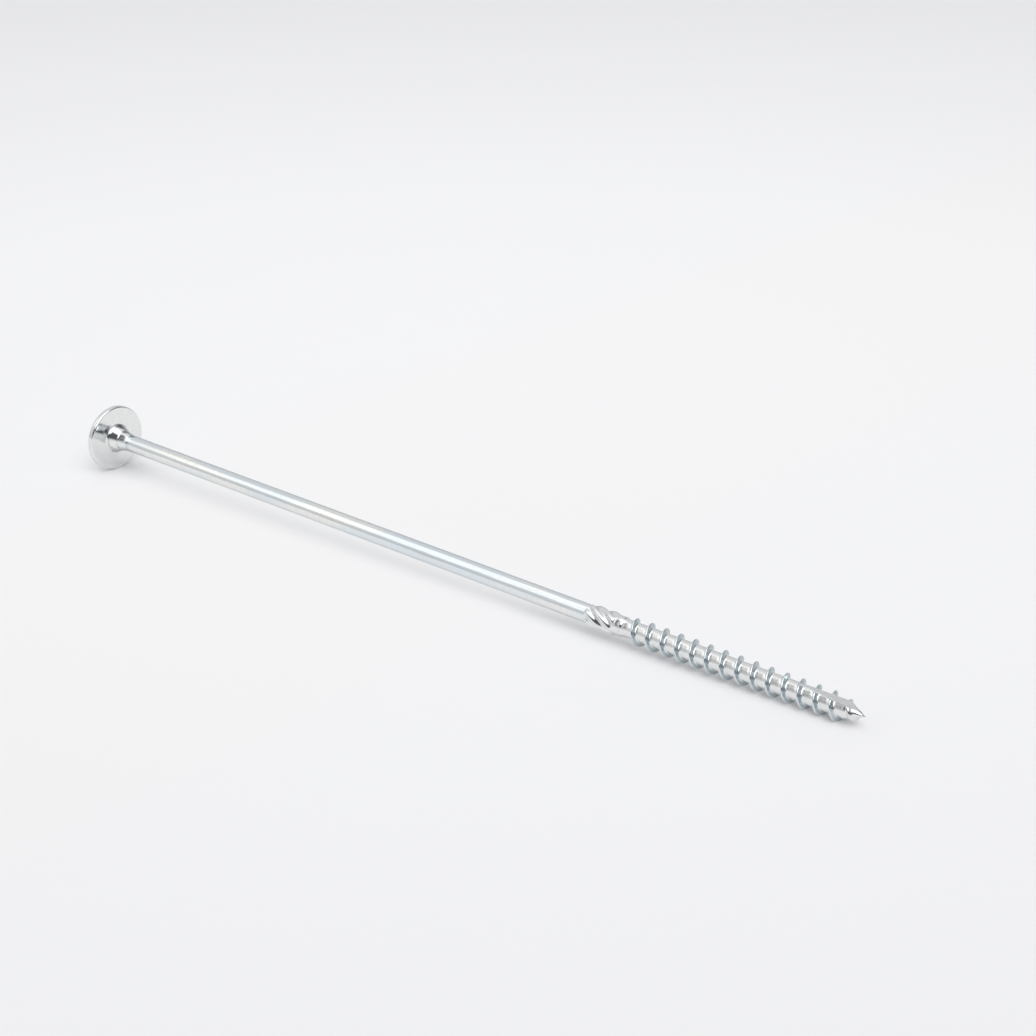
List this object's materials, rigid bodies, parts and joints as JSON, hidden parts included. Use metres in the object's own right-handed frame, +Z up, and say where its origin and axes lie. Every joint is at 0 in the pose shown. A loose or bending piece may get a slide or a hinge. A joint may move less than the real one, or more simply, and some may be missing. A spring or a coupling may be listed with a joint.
{
  "type": "construction screw",
  "caption": "Long partially threaded wood construction screw with a washer head, six-lobe recess, milling ribs and a notched point.",
  "frame": {"origin": "centre of the box in X and Y, on the floor the screw lies on", "axes": "+X from the head to the point along the floor, +Z up"},
  "size_m": [0.3, 0.022, 0.022],
  "materials": {
    "zinc_steel": "blue-clear zinc plating over rolled steel: bright silver with a slight blue and straw tint"
  },
  "bodies": {
    "root": {"screw": "zinc_steel"}
  },
  "joints": []
}
